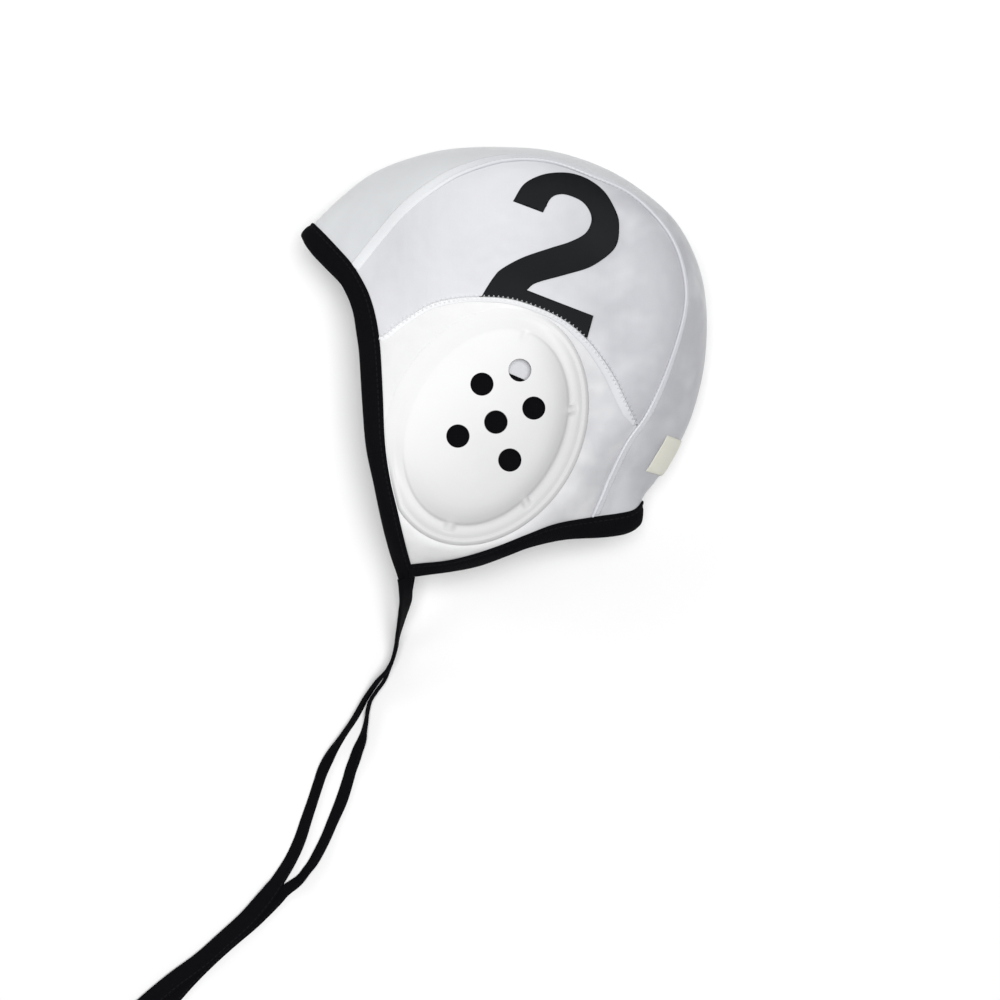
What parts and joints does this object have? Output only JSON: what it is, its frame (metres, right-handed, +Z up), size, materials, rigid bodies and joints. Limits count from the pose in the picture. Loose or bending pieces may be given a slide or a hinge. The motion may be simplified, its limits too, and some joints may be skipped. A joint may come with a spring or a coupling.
{
  "type": "water polo cap",
  "caption": "Cloth water polo cap lying flat on one side, with moulded ear guards, bound edges, a player number and two loose ties.",
  "frame": {"origin": "on the floor, below the middle of the cap's box without its ties", "axes": "+X towards the back of the cap, +Y towards the crown, +Z up from the floor, which is the wearer's left; the cap lies on its right side"},
  "size_m": [0.2793, 0.4199, 0.0798],
  "materials": {
    "panel_cloth": "silvery knit, satin sheen",
    "ear_cloth": "white knit, satin sheen",
    "seam_tape": "white flat tape, matte",
    "binding_tape": "black woven tape, matte",
    "guard_plastic": "white, soft satin",
    "number_print": "black print, matte",
    "label_cloth": "off-white woven tab, matte"
  },
  "bodies": {
    "root": {"centre_panel": "panel_cloth", "left_side_panel": "panel_cloth", "right_side_panel": "panel_cloth", "left_ear_panel": "ear_cloth", "right_ear_panel": "ear_cloth", "left_long_seam": "seam_tape", "right_long_seam": "seam_tape", "left_ear_seam": "seam_tape", "right_ear_seam": "seam_tape", "left_ear_guard": "guard_plastic", "right_ear_guard": "guard_plastic", "left_number": "number_print", "right_number": "number_print", "face_binding": "binding_tape", "neck_binding": "binding_tape", "back_label": "label_cloth", "left_tie": "binding_tape", "right_tie": "binding_tape"}
  },
  "joints": []
}
